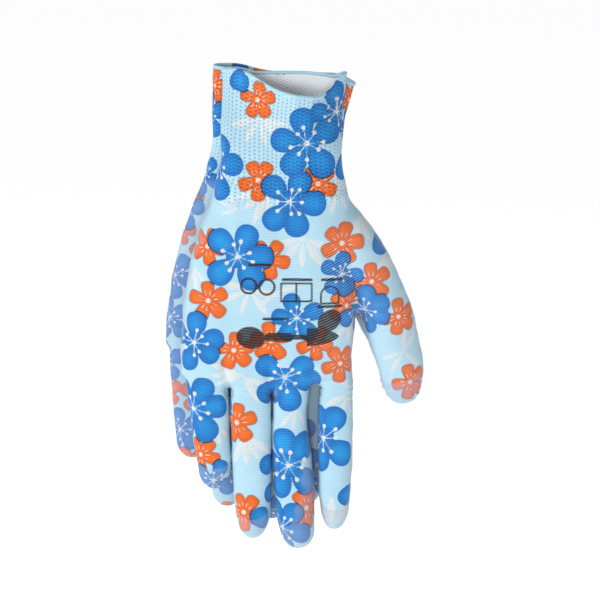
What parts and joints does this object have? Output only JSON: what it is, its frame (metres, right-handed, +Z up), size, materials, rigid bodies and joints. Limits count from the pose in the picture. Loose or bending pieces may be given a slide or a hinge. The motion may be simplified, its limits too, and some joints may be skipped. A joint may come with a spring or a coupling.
{
  "type": "gardening gloves",
  "caption": "Pair of thin knitted gardening gloves with a floral print and a clear palm dip, laid palm to palm and hung by the cuffs.",
  "frame": {"origin": "centre of the right glove's wrist opening", "axes": "+Z up out of the cuff, along the glove; +X towards the thumbs; -Y out of the back of the right glove"},
  "size_m": [0.1299, 0.0472, 0.2433],
  "materials": {
    "printed_knit": "fine knit, printed",
    "rib_knit": "elastic rib knit",
    "clear_dip": "satin film",
    "overlock_thread": "thread",
    "elastic_yarn": "covered yarn"
  },
  "bodies": {
    "root": {"right_palm_liner": "printed_knit", "right_palm_coating": "clear_dip", "right_cuff": "rib_knit", "right_hem_thread": "overlock_thread", "right_cuff_elastic": "elastic_yarn"},
    "right_thumb": {"right_thumb_stall": "printed_knit", "right_thumb_coating": "clear_dip"},
    "right_index": {"right_index_stall": "printed_knit", "right_index_coating": "clear_dip"},
    "right_middle": {"right_middle_stall": "printed_knit", "right_middle_coating": "clear_dip"},
    "right_ring": {"right_ring_stall": "printed_knit", "right_ring_coating": "clear_dip"},
    "right_little": {"right_little_stall": "printed_knit", "right_little_coating": "clear_dip"},
    "left_hand": {"left_palm_liner": "printed_knit", "left_palm_coating": "clear_dip", "left_cuff": "rib_knit", "left_hem_thread": "overlock_thread", "left_cuff_elastic": "elastic_yarn"},
    "left_thumb": {"left_thumb_stall": "printed_knit", "left_thumb_coating": "clear_dip"},
    "left_index": {"left_index_stall": "printed_knit", "left_index_coating": "clear_dip"},
    "left_middle": {"left_middle_stall": "printed_knit", "left_middle_coating": "clear_dip"},
    "left_ring": {"left_ring_stall": "printed_knit", "left_ring_coating": "clear_dip"},
    "left_little": {"left_little_stall": "printed_knit", "left_little_coating": "clear_dip"}
  },
  "joints": [
    {"name": "right_thumb_bends_back", "type": "hinge", "parent": "root", "child": "right_thumb", "pos_m": [0.0498, -0.0068, -0.1149], "axis": [-0.9563, 0, -0.2924], "range_deg": [0, 45], "stiffness_Nm_per_rad": 0.02, "springref_deg": -5.73},
    {"name": "right_index_bends_back", "type": "hinge", "parent": "root", "child": "right_index", "pos_m": [0.0252, -0.0058, -0.154], "axis": [-1, 0, 0], "range_deg": [0, 45], "stiffness_Nm_per_rad": 0.02, "springref_deg": -5.73},
    {"name": "right_middle_bends_back", "type": "hinge", "parent": "root", "child": "right_middle", "pos_m": [0.0046, -0.0068, -0.154], "axis": [-1, 0, 0], "range_deg": [0, 45], "stiffness_Nm_per_rad": 0.02, "springref_deg": -5.73},
    {"name": "right_ring_bends_back", "type": "hinge", "parent": "root", "child": "right_ring", "pos_m": [-0.0168, -0.0064, -0.154], "axis": [-1, 0, 0], "range_deg": [0, 45], "stiffness_Nm_per_rad": 0.02, "springref_deg": -5.73},
    {"name": "right_little_bends_back", "type": "hinge", "parent": "root", "child": "right_little", "pos_m": [-0.0399, -0.005, -0.154], "axis": [-1, 0, 0], "range_deg": [0, 45], "stiffness_Nm_per_rad": 0.02, "springref_deg": -5.73},
    {"name": "pair_separates", "type": "slide", "parent": "root", "child": "left_hand", "axis": [0, 1, 0], "range_m": [0, 0.15]},
    {"name": "left_thumb_bends_back", "type": "hinge", "parent": "left_hand", "child": "left_thumb", "pos_m": [0.04301, 0.028, -0.11256], "axis": [0.8526, 0, 0.5225], "range_deg": [0, 45], "stiffness_Nm_per_rad": 0.02, "springref_deg": -5.73},
    {"name": "left_index_bends_back", "type": "hinge", "parent": "left_hand", "child": "left_index", "pos_m": [0.01617, 0.0274, -0.14833], "axis": [0.9981, 0, -0.061], "range_deg": [0, 45], "stiffness_Nm_per_rad": 0.02, "springref_deg": -5.73},
    {"name": "left_middle_bends_back", "type": "hinge", "parent": "left_hand", "child": "left_middle", "pos_m": [-0.00439, 0.028, -0.14708], "axis": [0.9981, 0, -0.061], "range_deg": [0, 45], "stiffness_Nm_per_rad": 0.02, "springref_deg": -5.73},
    {"name": "left_ring_bends_back", "type": "hinge", "parent": "left_hand", "child": "left_ring", "pos_m": [-0.02575, 0.02776, -0.14577], "axis": [0.9981, 0, -0.061], "range_deg": [0, 45], "stiffness_Nm_per_rad": 0.02, "springref_deg": -5.73},
    {"name": "left_little_bends_back", "type": "hinge", "parent": "left_hand", "child": "left_little", "pos_m": [-0.0488, 0.02692, -0.14436], "axis": [0.9981, 0, -0.061], "range_deg": [0, 45], "stiffness_Nm_per_rad": 0.02, "springref_deg": -5.73}
  ]
}
